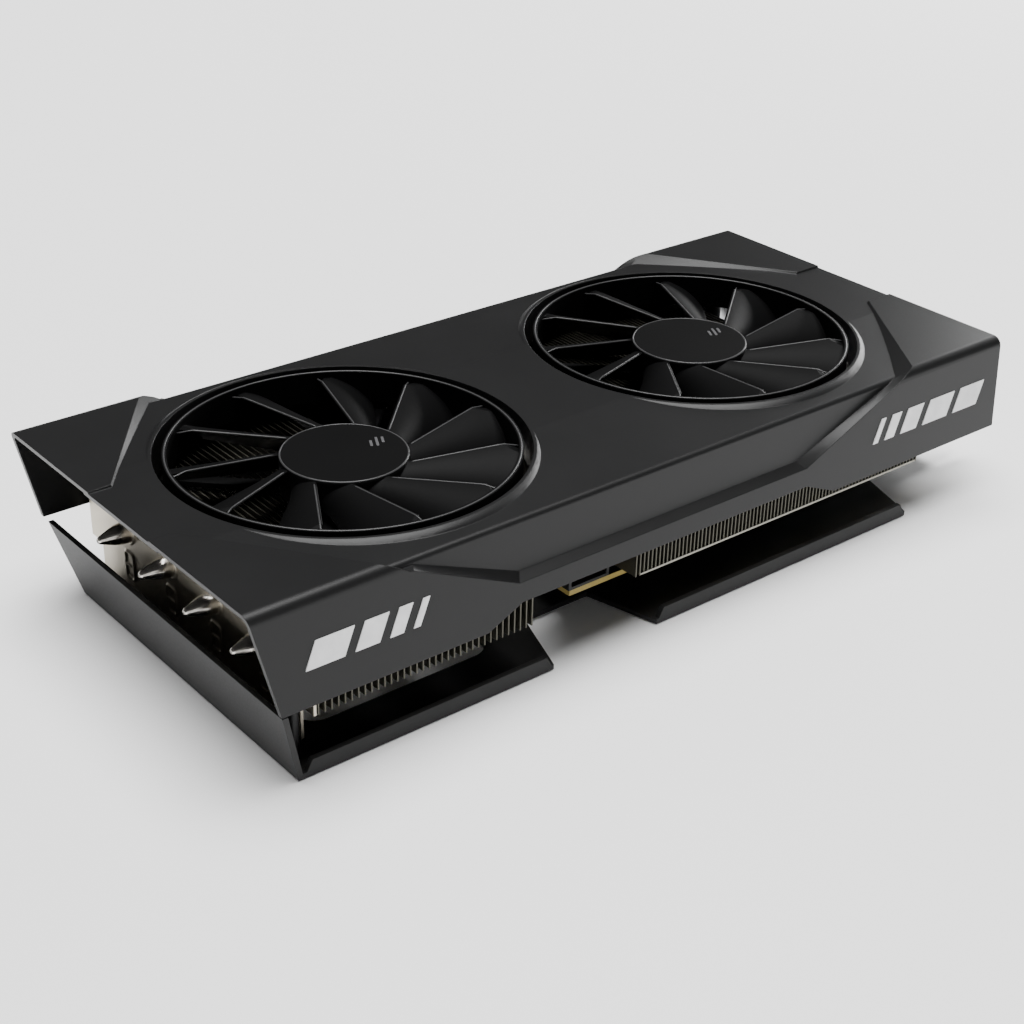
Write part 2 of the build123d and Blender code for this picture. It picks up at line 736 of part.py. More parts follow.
spreader_tail = bend_start + bend_run + 1.0
spreader_front = front_fins_stop - 8.0
spreader_centre = fan_y + pipe_line
clamp_places = [
    (chip_centre_x + sx * clamp_reach, spreader_centre + sy * clamp_reach) for sx in (-1, 1) for sy in (-1, 1)
]
with BuildPart() as spreader:
    half = pipe_pitch * 1.5 + pipe_radius + 6.0
    slab(
        (spreader_tail, spreader_centre - half, spreader_bottom),
        (spreader_front, spreader_centre + half, spreader_top),
    )
    for row_y in pipe_rows:
        with Locations((chip_centre_x, row_y, front_pipe_z)):
            Cylinder(pipe_radius, 300, rotation=(0, 90, 0), mode=Mode.SUBTRACT)
    for x, y in clamp_places:
        cylinder(x, y, spreader_bottom, spreader_bottom + clamp_grip, screw_radius, Mode.SUBTRACT)
save(spreader, "heat_spreader")

# --- Board ----------------------------------------------------------------------------------------
board_near_y = fan_y + board_near
finger_y = board_near_y + board_height
board_far_y = finger_y - finger_drop
board_tail_x = board_front_x - board_length
finger_front_x = front_x - finger_start
finger_tail_x = finger_front_x - finger_length
key_x = finger_front_x - finger_key_from_end
standoff_places = [
    (board_tail_x + 5.0, board_far_y - 14.0),
    (chip_centre_x - 42.0, spreader_centre + 40.0),
    (chip_centre_x + 34.0, spreader_centre + 41.0),
]
bracket_tab_ys = (fan_y - 36.0, fan_y + 53.0)
with BuildPart() as board:
    with BuildSketch(Plane.XY.offset(board_bottom)) as board_plan:
        Polygon(
            (board_tail_x, board_near_y),
            (board_front_x, board_near_y),
            (board_front_x, board_far_y),
            (finger_front_x, board_far_y),
            (finger_front_x, finger_y),
            (key_x, finger_y),
            (key_x, board_far_y),
            (key_x - finger_key, board_far_y),
            (key_x - finger_key, finger_y),
            (finger_tail_x, finger_y),
            (finger_tail_x, board_far_y),
            (board_tail_x, board_far_y),
            align=None,
        )
        screw_places = [*board_posts, *clamp_places, *standoff_places]
        screw_places += [(bracket_x - bracket_tab_hole, y) for y in bracket_tab_ys]
        with Locations(*screw_places):
            Circle(screw_radius, mode=Mode.SUBTRACT)
    extrude(amount=board_thickness)
save(board, "circuit_board")

with BuildPart() as contacts:
    for bottom in (board_top, board_bottom - finger_thickness):
        for first, last in ((key_x, finger_front_x), (finger_tail_x, key_x - finger_key)):
            count = int((last - first - 1.0) / 1.0)
            with Locations(((first + last) / 2, finger_y - 3.0, bottom + finger_thickness / 2)):
                with GridLocations(1.0, 1, count, 1):
                    Box(0.7, 4.2, finger_thickness)
save(contacts, "edge_contacts")

with BuildPart() as package:
    block(chip_centre_x, spreader_centre, board_top, package_size, package_size, package_thickness)
save(package, "chip_package")

with BuildPart() as die:
    block(chip_centre_x, spreader_centre, board_top + package_thickness, die_length, die_width, die_thickness)
save(die, "chip_die")

memory_step = package_size / 2 + memory_width / 2 + 4.0
memory_places = []
for sx in (-1, 1):
    for sy in (-1, 1):
        memory_places.append((chip_centre_x + sx * 9.5, spreader_centre + sy * (memory_step + 1.0), 0))
        memory_places.append((chip_centre_x + sx * memory_step, spreader_centre + sy * 9.5, 90))
with BuildPart() as memory:
    for x, y, turn in memory_places:
        with Locations(Location((x, y, board_top + memory_thickness / 2), (0, 0, turn))):
            Box(memory_length, memory_width, memory_thickness)
save(memory, "memory_chips")

with BuildPart() as pads:
    pad_bottom = board_top + memory_thickness
    for x, y, turn in memory_places:
        with Locations(Location((x, y, (pad_bottom + spreader_bottom) / 2), (0, 0, turn))):
            Box(memory_length - 1, memory_width - 1, spreader_bottom - pad_bottom)
save(pads, "thermal_pads")

supply_x = board_tail_x + supply_inset
supply_ys = [spreader_centre + 10.0 * (n - 3) for n in range(7)]
with BuildPart() as chokes:
    for y in supply_ys:
        block(supply_x, y, board_top, 7.0, 7.0, 2.6)
    fillet(chokes.edges().filter_by(Axis.Z), 0.8)
save(chokes, "chokes")

with BuildPart() as stages:
    for y in supply_ys:
        block(supply_x + 8.5, y, board_top, 5.0, 6.0, 0.9)
save(stages, "power_stages")

with BuildPart() as capacitors:
    for n, y in enumerate(supply_ys):
        if n > 0:
            cylinder(supply_x - 9.0, y, board_top, board_top + capacitor_height, 2.6)
    for y in supply_ys[2:5]:
        cylinder(board_front_x - 30.0, y, board_top, board_top + capacitor_height, 2.6)
save(capacitors, "capacitors")

with BuildPart() as controllers:
    block(supply_x - 17.0, spreader_centre + 10.0, board_top, 6.0, 6.0, 0.9)
    block(board_front_x - 22.0, spreader_centre + 24.0, board_top, 5.0, 6.0, 1.2)
    block(board_front_x - 22.0, spreader_centre - 18.0, board_top, 4.0, 4.0, 0.9)
save(controllers, "controller_chips")

with BuildPart() as fan_header:
    header_x = board_tail_x + 7.0
    header_y = spreader_centre + pipe_pitch
    block(header_x, header_y, board_top, 6.0, 12.0, 5.0)
    block(header_x, header_y, board_top + 1.2, 4.4, 10.4, 5.0, Mode.SUBTRACT)
save(fan_header, "fan_header")

# --- Clamp under the board, which pulls the spreader down onto the chip ---------------------------
clamp_top = board_bottom - clamp_pad
clamp_bottom = clamp_top - clamp_thickness
with BuildPart() as clamp:
    for quarter in (45, -45):
        centre = (chip_centre_x, spreader_centre, clamp_top - clamp_thickness / 2)
        with Locations(Location(centre, (0, 0, quarter))):
            Box(2 * clamp_reach * sqrt(2) + 6.0, 7.0, clamp_thickness)
    block(chip_centre_x, spreader_centre, clamp_top, 22.0, 22.0, clamp_pad)
    for x, y in clamp_places:
        cylinder(x, y, 0, board_bottom, screw_radius, Mode.SUBTRACT)
save(clamp, "clamp_frame")

spring_end = clamp_bottom - spring_height
with BuildPart() as clamp_springs:
    for x, y in clamp_places:
        cylinder(x, y, spring_end, clamp_bottom, head_radius)
        cylinder(x, y, spring_end, clamp_bottom, screw_radius, Mode.SUBTRACT)
save(clamp_springs, "clamp_springs")

with BuildPart() as clamp_screws:
    for x, y in clamp_places:
        screw(x, y, spring_end, spreader_bottom + clamp_grip)
save(clamp_screws, "clamp_screws")

# --- Power socket ---------------------------------------------------------------------------------
with BuildPart() as socket:
    slab(
        (socket_x - socket_length / 2, socket_mouth_y, board_top),
        (socket_x + socket_length / 2, socket_mouth_y + socket_depth, board_top + socket_height),
    )
    slab(
        (socket_x - socket_length / 2 + socket_wall, socket_mouth_y - 1, board_top + socket_wall),
        (
            socket_x + socket_length / 2 - socket_wall,
            socket_mouth_y + socket_depth - socket_floor,
            board_top + socket_height - socket_wall,
        ),
        Mode.SUBTRACT,
    )
    block(socket_x, socket_mouth_y + 4.0, board_top + socket_height, 4.0, 5.0, socket_latch)
save(socket, "power_socket")

with BuildPart() as socket_pins:
    pin_y = socket_mouth_y + socket_depth - socket_floor - pin_length / 2
    with Locations((socket_x, pin_y, board_top + socket_height / 2)):
        with GridLocations(pin_pitch, 1, pin_columns, 1):
            for side in (-1, 1):
                with Locations((0, 0, side * pin_pitch / 2)):
                    Box(pin_side, pin_length, pin_side)
save(socket_pins, "power_socket_pins")

# --- Display sockets and bracket ------------------------------------------------------------------
bracket_face_x = bracket_x + bracket_wall
display_ys = [fan_y + display_first + display_pitch * n for n in range(display_count)]
media_y = fan_y + display_first - display_pitch + 1.5 + display_pitch * (display_count + 1)
socket_centre_z = board_top + 3.4


def display_shell_at(y, inner):
    """An open metal shell on the board with its mouth at the bracket's outer face."""
    width, height = inner
    low_x = bracket_face_x - display_depth
    outer_w = width / 2 + display_shell
    outer_h = height / 2 + display_shell
    slab((low_x, y - outer_w, board_top), (bracket_face_x, y + outer_w, socket_centre_z + outer_h))
    slab(
        (low_x + 1.0, y - width / 2, socket_centre_z - height / 2),
        (bracket_face_x + 1, y + width / 2, socket_centre_z + height / 2),
        Mode.SUBTRACT,
    )


def display_tongue_at(y, inner):
    slab(
        (bracket_face_x - display_depth + 1.0, y - inner[0] / 2 + 1.6, socket_centre_z - display_tongue / 2),
        (bracket_face_x - display_mouth, y + inner[0] / 2 - 1.6, socket_centre_z + display_tongue / 2),
    )


with BuildPart() as display_sockets:
    for y in display_ys:
        display_shell_at(y, display_inner)
save(display_sockets, "display_sockets")

with BuildPart() as display_tongues:
    for y in display_ys:
        display_tongue_at(y, display_inner)
    display_tongue_at(media_y, media_inner)
save(display_tongues, "display_tongues")

with BuildPart() as media_socket:
    display_shell_at(media_y, media_inner)
save(media_socket, "media_socket")

bracket_low = board_bottom - bracket_below_board
bracket_high = bracket_low + bracket_width
bracket_near_y = fan_y + bracket_near
bracket_far_y = bracket_near_y + bracket_height
shoulder_y = bracket_far_y - bracket_tongue
tongue_zs = [bracket_low + 9.2 + slot_pitch * n for n in range(2)]
with BuildPart() as bracket:
    slab((bracket_x, bracket_near_y, bracket_low), (bracket_face_x, shoulder_y, bracket_high))
    for z in tongue_zs:
        half = tongue_width / 2
        tongue = [(shoulder_y - 1, z - half), (bracket_far_y - tongue_taper, z - half)]
        tongue += [(bracket_far_y, z - half / 2), (bracket_far_y, z + half / 2)]
        tongue += [(bracket_far_y - tongue_taper, z + half), (shoulder_y - 1, z + half)]
        prism(Plane.YZ.offset(bracket_x), tongue, bracket_wall)
    tab_x = bracket_face_x + tab_length
    tab = [(bracket_x, bracket_low), (tab_x - tab_corner, bracket_low), (tab_x, bracket_low + tab_corner)]
    tab += [(tab_x, bracket_high - tab_corner), (tab_x - tab_corner, bracket_high), (bracket_x, bracket_high)]
    prism(upright(bracket_near_y + bracket_wall), tab, bracket_wall)
    for z in tongue_zs:
        with Locations((bracket_face_x + tab_length - 4.5, bracket_near_y + bracket_wall / 2, z)):
            Cylinder(tab_slot_radius, 4, rotation=(90, 0, 0), mode=Mode.SUBTRACT)
    for y, (width, height) in [(y, display_inner) for y in display_ys] + [(media_y, media_inner)]:
        reach_y = width / 2 + display_shell + running_gap
        slab(
            (bracket_x - 1, y - reach_y, board_top - running_gap),
            (bracket_face_x + 1, y + reach_y, socket_centre_z + height / 2 + display_shell + running_gap),
            Mode.SUBTRACT,
        )
    vent_z = (socket_centre_z + 6.0 + bracket_high) / 2
    with BuildSketch(Plane.YZ.offset(bracket_x)) as vents:
        with Locations((fan_y + 9.0, vent_z)):
            with HexLocations(2.7, 18, 4):
                RegularPolygon(2.2, 6)
    extrude(amount=bracket_wall, mode=Mode.SUBTRACT)
    for y in bracket_tab_ys:
        slab((bracket_x - 10.0, y - 3.5, board_top), (bracket_x, y + 3.5, board_top + bracket_wall))
        cylinder(bracket_x - bracket_tab_hole, y, 0, board_top + 5, screw_radius, Mode.SUBTRACT)
save(bracket, "io_bracket")

with BuildPart() as bracket_screws:
    for y in bracket_tab_ys:
        screw(bracket_x - bracket_tab_hole, y, board_top + bracket_wall, board_bottom)
save(bracket_screws, "bracket_screws")

# --- Backplate ------------------------------------------------------------------------------------
plate_tail_x = tail_x + tail_lean * card_height
wall_foot = tail_x + tail_lean * (wall_depth + running_gap)
near_y = fan_y + plate_near
far_y = fan_y + plate_far
front_limit = front_x - plate_front_limit
slant_x = front_x - plate_front_inset
slant_end_y = near_y + (front_limit - slant_x) / plate_front_slant
notch_tail_x = front_x - notch_tail
notch_front_x = front_x - notch_front
notch_y = fan_y + notch_near
notch_run = notch_y - near_y
wall_along = plate_thickness * sqrt(1 + tail_lean**2)
with BuildPart() as backplate:
    top = down(wall_depth + running_gap)
    strip = [(wall_foot, top), (plate_tail_x, 0), (plate_tail_x + wall_along, 0), (wall_foot + wall_along, top)]
    prism(upright(fan_y), strip, 90, both=True)
    tail_shape = [
        (fan_y + plate_tail_near, top), (near_y, 0), (far_y, 0), (fan_y + plate_tail_far, top),
    ]
    prism(Plane.YZ.offset(tail_x - 5), tail_shape, 60, Mode.INTERSECT)
    with BuildSketch() as plan:
        Polygon(
            (plate_tail_x + 0.5, near_y),
            (notch_tail_x, near_y),
            (notch_tail_x + notch_run * notch_tail_slant, notch_y),
            (notch_front_x - notch_run * notch_front_slant, notch_y),
            (notch_front_x, near_y),
            (slant_x, near_y),
            (front_limit, slant_end_y),
            (front_limit, far_y),
            (plate_tail_x + 0.5, far_y),
            align=None,
        )
        with Locations(((window_start + window_end) / 2 + tail_x, fan_y + (window_near + window_far) / 2)):
            RectangleRounded(window_end - window_start, window_far - window_near, window_radius,
                             mode=Mode.SUBTRACT)
        with Locations(*plate_posts, *standoff_places):
            Circle(screw_radius, mode=Mode.SUBTRACT)
    extrude(amount=plate_thickness)
    for first, last in ((plate_tail_x + 1.6, notch_tail_x), (notch_front_x, slant_x)):
        lip = [(first, 0), (last, 0)]
        lip += [(last - lip_chamfer, plate_lip_height), (first + lip_chamfer, plate_lip_height)]
        prism(upright(near_y + plate_thickness), lip, plate_thickness)
    for x, y in [*plate_posts, *standoff_places]:
        with Locations((x, y, 0)):
            Cone(head_radius, screw_radius, head_height, align=(Align.CENTER, Align.CENTER, Align.MIN),
                 mode=Mode.SUBTRACT)
save(backplate, "backplate")

with BuildPart() as standoffs:
    for x, y in standoff_places:
        cylinder(x, y, plate_thickness, board_bottom, standoff_radius)
        cylinder(x, y, 0, card_height, screw_radius, Mode.SUBTRACT)
save(standoffs, "standoffs")


def flat_screw(x, y, tip):
    """A countersunk screw whose head lies flush in the backplate's outer face."""
    with Locations((x, y, 0)):
        Cone(head_radius, screw_radius, head_height, align=(Align.CENTER, Align.CENTER, Align.MIN))
    cylinder(x, y, head_height, tip, screw_radius)
    for length, width in ((2.2, 0.5), (0.5, 2.2)):
        block(x, y, -0.1, length, width, 0.6, mode=Mode.SUBTRACT)


with BuildPart() as backplate_screws:
    for x, y in standoff_places:
        flat_screw(x, y, board_top)
save(backplate_screws, "backplate_screws")

# --- Screws that hold the shroud and the fan frames -----------------------------------------------
with BuildPart() as shroud_screws:
    for x, y in plate_posts:
        flat_screw(x, y, plate_thickness + screw_grip)
    for x, y in board_posts:
        screw(x, y, board_bottom, board_top + screw_grip)
save(shroud_screws, "shroud_screws")

for name, fan_x in (("tail_fan", tail_fan_x), ("front_fan", front_fan_x)):
    with BuildPart() as fan_screws:
        for x, y in boss_places(fan_x):
            screw(x, y, down(frame_top_depth + frame_thickness), down(frame_top_depth - screw_grip))
    save(fan_screws, f"{name}_screws")
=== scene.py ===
"""Looks of a dual-fan graphics card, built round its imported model. Metres, +Z up, fans upwards."""

import json
from math import cos, pi, radians, sin, tau

import bpy
import numpy as np
from mathutils import Matrix, Vector


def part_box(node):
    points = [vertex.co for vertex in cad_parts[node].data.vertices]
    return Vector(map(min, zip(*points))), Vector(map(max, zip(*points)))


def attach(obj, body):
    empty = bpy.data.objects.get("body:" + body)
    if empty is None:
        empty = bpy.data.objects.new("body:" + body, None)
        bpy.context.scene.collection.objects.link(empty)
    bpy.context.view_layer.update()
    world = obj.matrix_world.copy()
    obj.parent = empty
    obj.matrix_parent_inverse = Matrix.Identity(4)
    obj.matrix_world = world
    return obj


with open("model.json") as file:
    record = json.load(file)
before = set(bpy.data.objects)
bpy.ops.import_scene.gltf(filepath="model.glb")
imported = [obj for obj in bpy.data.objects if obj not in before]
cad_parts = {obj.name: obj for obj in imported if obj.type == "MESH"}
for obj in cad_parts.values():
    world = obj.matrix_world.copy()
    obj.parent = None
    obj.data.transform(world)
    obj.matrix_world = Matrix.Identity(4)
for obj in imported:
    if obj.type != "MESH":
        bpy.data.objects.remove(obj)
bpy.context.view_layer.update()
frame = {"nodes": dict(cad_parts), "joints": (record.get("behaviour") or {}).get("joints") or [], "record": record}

MM = 0.001
nodes = frame["nodes"]
joints = {joint["name"]: joint for joint in frame["joints"]}
shroud_low, shroud_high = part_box("shroud")
tail_x = shroud_low.x
top_z = shroud_high.z
fan_places = {
    "tail_fan": joints["tail_fan_spin"]["pos_m"],
    "front_fan": joints["front_fan_spin"]["pos_m"],
}
fan_y = fan_places["tail_fan"][1]
hub_radius = 17.6 * MM
hub_top = top_z - 3.0 * MM


# --- Shader helpers -------------------------------------------------------------------------------
class Value:
    """A node's output socket, with arithmetic that adds Math nodes."""

    def __init__(self, finish, socket):
        self.finish = finish
        self.socket = socket

    def _math(self, operation, *others):
        return self.finish.node("ShaderNodeMath", {"operation": operation}, dict(enumerate(others)))

    def __add__(self, other):
        return self._math("ADD", self, other)

    def __sub__(self, other):
        return self._math("SUBTRACT", self, other)

    def __rsub__(self, other):
        return self._math("SUBTRACT", other, self)

    def __mul__(self, other):
        return self._math("MULTIPLY", self, other)

    def __truediv__(self, other):
        return self._math("DIVIDE", self, other)

    def absolute(self):
        return self._math("ABSOLUTE", self)

    def clipped(self):
        return self.finish.node("ShaderNodeClamp", {}, {"Value": self})

    __radd__ = __add__
    __rmul__ = __mul__


class Shading:
    """The nodes of one tree."""

    def __init__(self, tree):
        self.tree = tree

    def node(self, kind, settings, inputs, output=0):
        """Any node: its settings are set first, then each input gets a value or a link."""
        made = self.tree.nodes.new(kind)
        for key, value in settings.items():
            if key == "stops":
                ramp = made.color_ramp
                while len(ramp.elements) < len(value):
                    ramp.elements.new(0.5)
                for element, (place, colour) in zip(ramp.elements, value):
                    element.position = place
                    element.color = (*colour, 1.0)
            else:
                setattr(made, key, value)
        for key, value in inputs.items():
            self.feed(made.inputs[key], value)
        return Value(self, made.outputs[output])

    def feed(self, socket, value):
        if isinstance(value, Value):
            self.tree.links.new(value.socket, socket)
        elif isinstance(value, (tuple, list)) and len(value) + 1 == len(socket.default_value):
            socket.default_value = (*value, 1.0)
        else:
            socket.default_value = value


class Finish(Shading):
    """One material: its node tree, its object coordinates and its Principled shader."""

    def __init__(self, name):
        self.material = bpy.data.materials.new(name)
        self.material.use_nodes = True
        super().__init__(self.material.node_tree)
        self.shader = self.tree.nodes["Principled BSDF"]

    def place(self, scale=(1, 1, 1)):
        """Object coordinates, stretched by this much along each axis."""
        spot = self.node("ShaderNodeTexCoord", {}, {}, "Object")
        return self.node("ShaderNodeMapping", {}, {"Vector": spot, "Scale": scale})

    def noise(self, size, detail=2.0, stretch=(1, 1, 1), rough=0.5):
        """Noise whose patches are about this many metres across."""
        spot = self.place(stretch)
        inputs = {"Vector": spot, "Scale": 1.0 / size, "Detail": detail, "Roughness": rough}
        return self.node("ShaderNodeTexNoise", {}, inputs)

    def ramp(self, value, *stops):
        return self.node("ShaderNodeValToRGB", {"stops": stops}, {"Fac": value})

    def mix(self, factor, first, second):
        """Colour between first and second: a Mix node's colours are inputs 6 and 7 and output 2."""
        inputs = {0: factor, 6: first, 7: second}
        return self.node("ShaderNodeMix", {"data_type": "RGBA"}, inputs, 2)

    def bump(self, height, strength, distance, normal=None):
        inputs = {"Height": height, "Strength": strength, "Distance": distance}
        if normal is not None:
            inputs["Normal"] = normal
        return self.node("ShaderNodeBump", {}, inputs)

    def soft_edges(self, radius):
        """Normal that rounds every edge a little, as a moulding or a bent sheet has."""
        return self.node("ShaderNodeBevel", {"samples": 4}, {"Radius": radius})

    def surface(self, **sockets):
        for name, value in sockets.items():
            self.feed(self.shader.inputs[name.replace("_", " ")], value)
        return self.material


def satin_moulding(name, colour, roughness, gloss):
    """Black moulded plastic: fine spark texture, faint cloudiness, softened edges."""
    f = Finish(name)
    cloud = f.noise(0.03, 3.0)
    speck = f.noise(0.00035, 2.0)
    base = f.mix(cloud, [c * 0.88 for c in colour], [c * 1.14 for c in colour])
    rough = speck * 0.10 + cloud * 0.06 + (roughness - 0.08)
    normal = f.bump(speck, 0.16, 0.00004, f.soft_edges(0.0004))
    return f.surface(Base_Color=base, Roughness=rough, Normal=normal, Specular_IOR_Level=gloss)


def powder_coat(name, colour, roughness):
    """Painted sheet metal: orange-peel bump over softened edges."""
    f = Finish(name)
    peel = f.noise(0.0006, 3.0)
    cloud = f.noise(0.05, 2.0)
    base = f.mix(cloud, [c * 0.9 for c in colour], [c * 1.12 for c in colour])
    rough = peel * 0.12 + (roughness - 0.06)
    normal = f.bump(peel, 0.2, 0.00005, f.soft_edges(0.0003))
    return f.surface(Base_Color=base, Roughness=rough, Normal=normal, Specular_IOR_Level=0.25)


def rolled_metal(name, colour, roughness, stretch=(1, 1, 1), metallic=1.0):
    """Bare or plated metal with fine streaks along the stretched direction."""
    f = Finish(name)
    streaks = f.noise(0.0004, 3.0, stretch)
    patch = f.noise(0.008, 3.0)
    worn, bright = [c * 0.84 for c in colour], [min(c * 1.12, 1.0) for c in colour]
    base = f.mix(patch * 0.6 + streaks * 0.4, worn, bright)
    rough = streaks * 0.14 + patch * 0.08 + (roughness - 0.1)
    normal = f.bump(streaks, 0.12, 0.00002, f.soft_edges(0.0002))
    return f.surface(Base_Color=base, Roughness=rough.clipped(), Metallic=metallic, Normal=normal)


def solder_mask(name):
    """Black lacquered board with raised copper tracks showing through, and a laminate edge."""
    f = Finish(name)
    cells = f.node(
        "ShaderNodeTexVoronoi",
        {"feature": "F1", "distance": "CHEBYCHEV"},
        {"Vector": f.place(), "Scale": 420.0, "Randomness": 1.0},
        "Distance",
    )
    tracks = f.ramp(cells, (0.30, (0, 0, 0)), (0.38, (1, 1, 1)))
    lacquer = f.mix(tracks, (0.008, 0.012, 0.009), (0.018, 0.024, 0.018))
    outward = f.node("ShaderNodeNewGeometry", {}, {}, "True Normal")
    facing = f.node("ShaderNodeSeparateXYZ", {}, {0: outward}, "Z")
    flat = facing.absolute()
    weave = f.noise(0.0005, 2.0, (1, 1, 4))
    laminate = f.mix(weave, (0.42, 0.30, 0.07), (0.66, 0.52, 0.18))
    base = f.mix(flat, laminate, lacquer)
    normal = f.bump(tracks, 0.3, 0.00004)
    return f.surface(Base_Color=base, Roughness=0.36, Normal=normal, Coat_Weight=0.2)


def chip_epoxy(name, colour, roughness):
    """Moulded chip or connector body: fine sandblasted grain."""
    f = Finish(name)
    grain = f.noise(0.0002, 2.0)
    patch = f.noise(0.004, 2.0)
    base = f.mix(patch, [c * 0.8 for c in colour], [min(c * 1.2, 1.0) for c in colour])
    normal = f.bump(grain, 0.25, 0.00003, f.soft_edges(0.0001))
    return f.surface(Base_Color=base, Roughness=grain * 0.15 + (roughness - 0.07), Normal=normal)


# --- Finishes -------------------------------------------------------------------------------------
shroud_black = satin_moulding("shroud_black", (0.0085, 0.0085, 0.0087), 0.36, 0.23)
fan_black = satin_moulding("fan_black", (0.0035, 0.0035, 0.0036), 0.5, 0.05)
mark_white = chip_epoxy("mark_white", (0.86, 0.86, 0.87), 0.45)
plate_black = powder_coat("plate_black", (0.016, 0.016, 0.016), 0.46)
fin_dark = rolled_metal("fin_dark", (0.10, 0.096, 0.078), 0.45, (1, 1, 8), 0.9)
plate_bare = rolled_metal("plate_bare", (0.62, 0.57, 0.47), 0.40, (1, 0.08, 1), 0.85)
nickel = rolled_metal("nickel", (0.80, 0.76, 0.70), 0.20, (0.1, 1, 1), 1.0)
steel = rolled_metal("steel", (0.52, 0.52, 0.53), 0.32, (1, 1, 1), 1.0)
bracket_steel = rolled_metal("bracket_steel", (0.58, 0.58, 0.59), 0.30, (1, 0.06, 1), 1.0)
magnet_grey = rolled_metal("magnet_grey", (0.12, 0.12, 0.125), 0.5, (1, 1, 1), 0.6)
bronze = rolled_metal("bronze", (0.50, 0.36, 0.20), 0.42, (1, 1, 1), 1.0)
copper_wire = rolled_metal("copper_wire", (0.62, 0.27, 0.12), 0.3, (1, 1, 40), 1.0)
gold = rolled_metal("gold", (0.86, 0.62, 0.24), 0.25, (1, 1, 1), 1.0)
can_silver = rolled_metal("can_silver", (0.66, 0.66, 0.67), 0.3, (1, 1, 1), 1.0)
silicon = rolled_metal("silicon", (0.32, 0.34, 0.40), 0.14, (1, 1, 1), 0.9)
board_black = solder_mask("board_black")
chip_black = chip_epoxy("chip_black", (0.03, 0.03, 0.032), 0.5)
connector_black = chip_epoxy("connector_black", (0.022, 0.022, 0.022), 0.42)
package_green = chip_epoxy("package_green", (0.03, 0.10, 0.045), 0.35)
pad_grey = chip_epoxy("pad_grey", (0.36, 0.36, 0.40), 0.7)
mark_grey = chip_epoxy("mark_grey", (0.075, 0.075, 0.078), 0.35)
# The folded fin edge: the fins' own metal, three times lighter in colour, a painted highlight.
fin_edge_painted_highlight = rolled_metal("fin_edge", (0.30, 0.29, 0.25), 0.38, (0.05, 1, 1), 0.9)
# Fan edge beads: real gloss, with a base colour about thirteen times the fan's, which is a painted highlight along
# the edges.
glossy_edge_painted_highlight = satin_moulding("fan_edge_gloss", (0.045, 0.045, 0.046), 0.32, 0.4)

SLOT_FINISH = {
    "shroud_black": shroud_black,
    "fan_black": fan_black,
    "mark_white": mark_white,
    "plate_black": plate_black,
    "fin_dark": fin_dark,
    "plate_bare": plate_bare,
    "nickel": nickel,
    "steel": steel,
    "magnet": magnet_grey,
    "bronze": bronze,
    "copper": copper_wire,
    "board_black": board_black,
    "gold": gold,
    "chip_black": chip_black,
    "package_green": package_green,
    "silicon": silicon,
    "pad_grey": pad_grey,
    "can_silver": can_silver,
    "connector_black": connector_black,
}
for entry in frame["record"]["subparts"]:
    shown = nodes[entry["node"]]
    shown.data.materials.clear()
    shown.data.materials.append(SLOT_FINISH[entry["material_slot"]])
nodes["io_bracket"].data.materials[0] = bracket_steel


# --- Mesh helpers ---------------------------------------------------------------------------------
def piece(name, points, faces, finish, body, slot, smooth=None):
    """A new mesh object at the origin from world points, riding on a body."""
    mesh = bpy.data.meshes.new(name)
    points = np.asarray(points, float).reshape(-1, 3)
    mesh.from_pydata(points.tolist(), [], np.asarray(faces).tolist())
    mesh.materials.append(finish)
    mesh.validate()
    made = bpy.data.objects.new(name, mesh)
    bpy.context.scene.collection.objects.link(made)
    if smooth is not None:
        mesh.shade_smooth()
        mesh.set_sharp_from_angle(angle=radians(smooth))
    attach(made, body)
    return made


def grid_faces(rows, columns, closed_rows=False, closed_columns=False, flip=False):
    """Quads of a grid of points laid out row by row."""
    r = np.arange(rows if closed_rows else rows - 1)
    c = np.arange(columns if closed_columns else columns - 1)
    r, c = np.meshgrid(r, c, indexing="ij")
    down, right = (r + 1) % rows, (c + 1) % columns
    here, below = r * columns, down * columns
    quads = np.stack([here + c, below + c, below + right, here + right], -1).reshape(-1, 4)
    return quads[:, ::-1] if flip else quads


def joined(parts):
    """Several (points, faces) pairs as one."""
    points, faces, start = [], [], 0
    for some_points, some_faces in parts:
        points.append(some_points)
        faces.append(np.asarray(some_faces) + start)
        start += len(some_points)
    return np.concatenate(points), [list(f) for block in faces for f in block]


# --- Details --------------------------------------------------------------------------------------
def signed_power(values, power):
    """The value's size raised to the power, with its own sign kept."""
    return np.sign(values) * np.abs(values) ** power


def pillow(centre, half, turn=0.0, across=24, around=48, square=0.3):
    """A closed block with rounded edges.

    Each half size is multiplied by the cos and sin of two angles, each raised to the power square.
    """
    rise = np.linspace(-pi / 2, pi / 2, across)[:, None]
    round_angle = np.linspace(0, tau, around, endpoint=False)[None, :]
    x = half[0] * signed_power(np.cos(rise), square) * signed_power(np.cos(round_angle), square)
    y = half[1] * signed_power(np.cos(rise), square) * signed_power(np.sin(round_angle), square)
    z = half[2] * signed_power(np.sin(rise), square) * np.ones_like(round_angle)
    turned_x = x * cos(turn) - y * sin(turn)
    turned_y = x * sin(turn) + y * cos(turn)
    points = np.stack([turned_x, turned_y, z], -1) + np.asarray(centre, float)
    return points.reshape(-1, 3), grid_faces(across, around, False, True, flip=True)


def hub_mark(fan):
    """Three short slanted bars in low relief, off centre on the hub's top."""
    x, y, _ = fan_places[fan]
    off_centre, spacing, lean = 10.6 * MM, 1.9 * MM, radians(62)
    half_width, half_height = 0.38 * MM, 0.1 * MM
    bars = []
    for n, half_length in ((-1, 1.7 * MM), (0, 2.6 * MM), (1, 1.7 * MM)):
        middle = (x + off_centre + spacing * n, y, hub_top)
        bars.append(pillow(middle, (half_length, half_width, half_height), lean))
    return piece(f"{fan}_mark", *joined(bars), mark_grey, fan, "fan_black", smooth=50)


